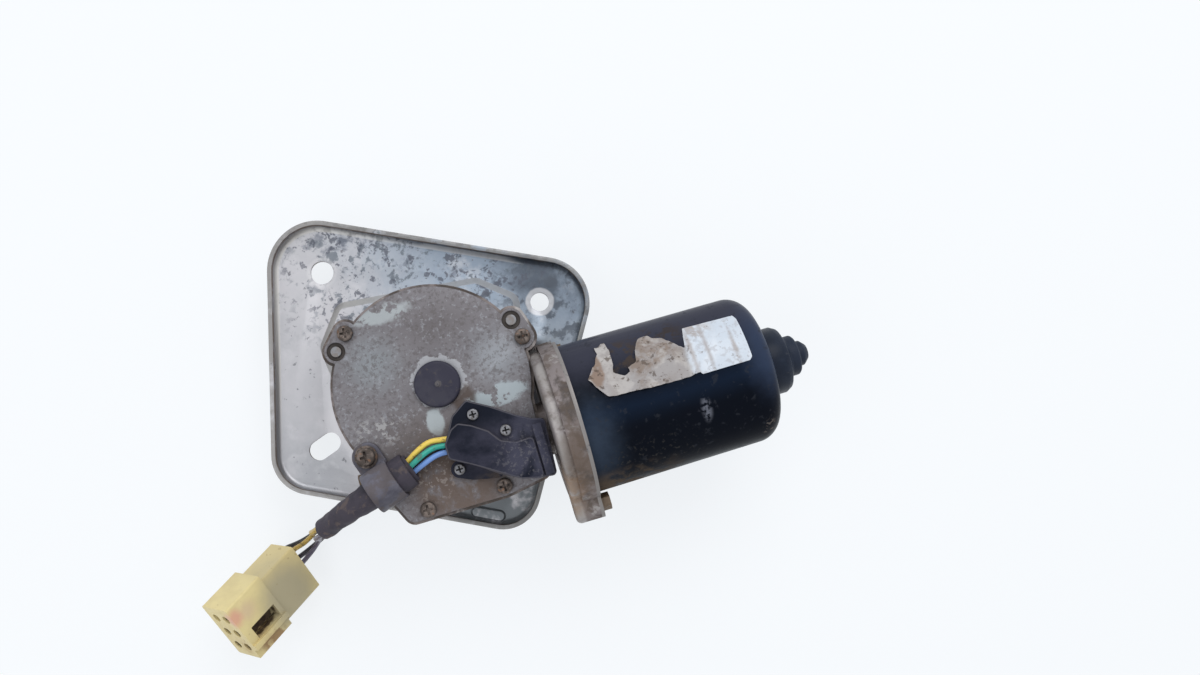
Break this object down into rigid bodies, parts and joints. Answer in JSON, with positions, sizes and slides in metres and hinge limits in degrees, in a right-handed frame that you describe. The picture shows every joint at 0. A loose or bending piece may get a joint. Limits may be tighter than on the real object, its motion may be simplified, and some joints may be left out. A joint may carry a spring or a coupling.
{
  "type": "wiper motor",
  "caption": "Windscreen-wiper motor: a round can motor drives a worm gearbox on a pressed mounting plate, with a splined output stub, a rubber end boot and a wired plug.",
  "frame": {"origin": "on the output-shaft axis, at the underside of the mounting plate", "axes": "+Z from the output stub towards the gear cover, +X along the motor towards its closed end, +Y across the plate away from the motor"},
  "size_m": [0.297, 0.1914, 0.094],
  "materials": {
    "zinc_plate": "dull zinc plating with dark stains",
    "cast_alloy": "dirty die casting",
    "gasket_paper": "matt sealing gasket",
    "cover_steel": "worn pressed steel with pale rubbed patches",
    "black_rubber": "matt rubber",
    "screw_steel": "tarnished plated screws",
    "bright_screw": "bright plated screws",
    "pin_steel": "bright ground pin",
    "bolt_steel": "tarnished plated bolts",
    "gear_nylon": "natural nylon",
    "inner_steel": "ground steel",
    "shaft_steel": "ground steel, cut serrations and thread",
    "sintered_bronze": "sintered bronze",
    "contact_brass": "stamped brass",
    "switch_plastic": "moulded phenolic",
    "core_iron": "varnished laminations",
    "copper_wire": "enamelled copper",
    "yoke_black": "satin black paint, scuffed",
    "ferrite": "sintered ferrite",
    "carbon": "pressed carbon",
    "cover_plastic": "dusty black plastic",
    "clamp_steel": "dark blue-grey passivated strap",
    "sleeve_vinyl": "black vinyl tube",
    "wire_yellow": "soft insulation",
    "wire_green": "soft insulation",
    "wire_blue": "soft insulation",
    "wire_black": "soft insulation",
    "connector_nylon": "aged cream nylon"
  },
  "bodies": {
    "root": {"mounting_plate": "zinc_plate", "gear_housing": "cast_alloy", "cover_gasket": "gasket_paper", "gear_cover": "cover_steel", "cover_cap": "black_rubber", "cover_screws": "screw_steel", "clamp_screw": "screw_steel", "locating_pins": "pin_steel", "plate_bolts": "bolt_steel", "output_bushes": "sintered_bronze", "shaft_seal": "black_rubber", "contact_carrier": "switch_plastic", "park_contacts": "contact_brass", "motor_yoke": "yoke_black", "magnets": "ferrite", "magnet_clips": "inner_steel", "yoke_bolts": "bolt_steel", "end_boot": "black_rubber", "rear_bearing": "sintered_bronze", "bearing_retainer": "inner_steel", "front_bearing": "sintered_bronze", "worm_end_bearing": "sintered_bronze", "thrust_ball": "inner_steel", "thrust_screw": "bolt_steel", "brush_plate": "switch_plastic", "brush_holders": "contact_brass", "brushes": "carbon", "brush_springs": "inner_steel", "terminal_cover": "cover_plastic", "terminal_board": "switch_plastic", "terminal_screws": "bright_screw", "clamp_collar": "black_rubber", "cable_clamp": "clamp_steel", "wiring_sleeve": "sleeve_vinyl", "wire_yellow": "wire_yellow", "wire_green": "wire_green", "wire_blue": "wire_blue", "wire_black": "wire_black", "connector_housing": "connector_nylon", "connector_terminals": "contact_brass"},
    "armature": {"armature_shaft": "inner_steel", "armature_core": "core_iron", "armature_windings": "copper_wire", "commutator": "contact_brass"},
    "output": {"gear_wheel": "gear_nylon", "thrust_washer": "inner_steel", "park_cam_disc": "contact_brass", "output_shaft": "shaft_steel", "output_circlip": "inner_steel", "boss_washer": "inner_steel"}
  },
  "joints": [
    {"name": "armature_spin", "type": "hinge", "parent": "root", "child": "armature", "pos_m": [0, -0.032, 0.038], "axis": [1, 0, 0], "continuous": true},
    {"name": "output_spin", "type": "hinge", "parent": "root", "child": "output", "pos_m": [0, 0, 0], "axis": [0, 0, 1], "continuous": true}
  ],
  "couplings": [
    {"joint": "output_spin", "follows": "armature_spin", "ratio": -0.018868}
  ]
}
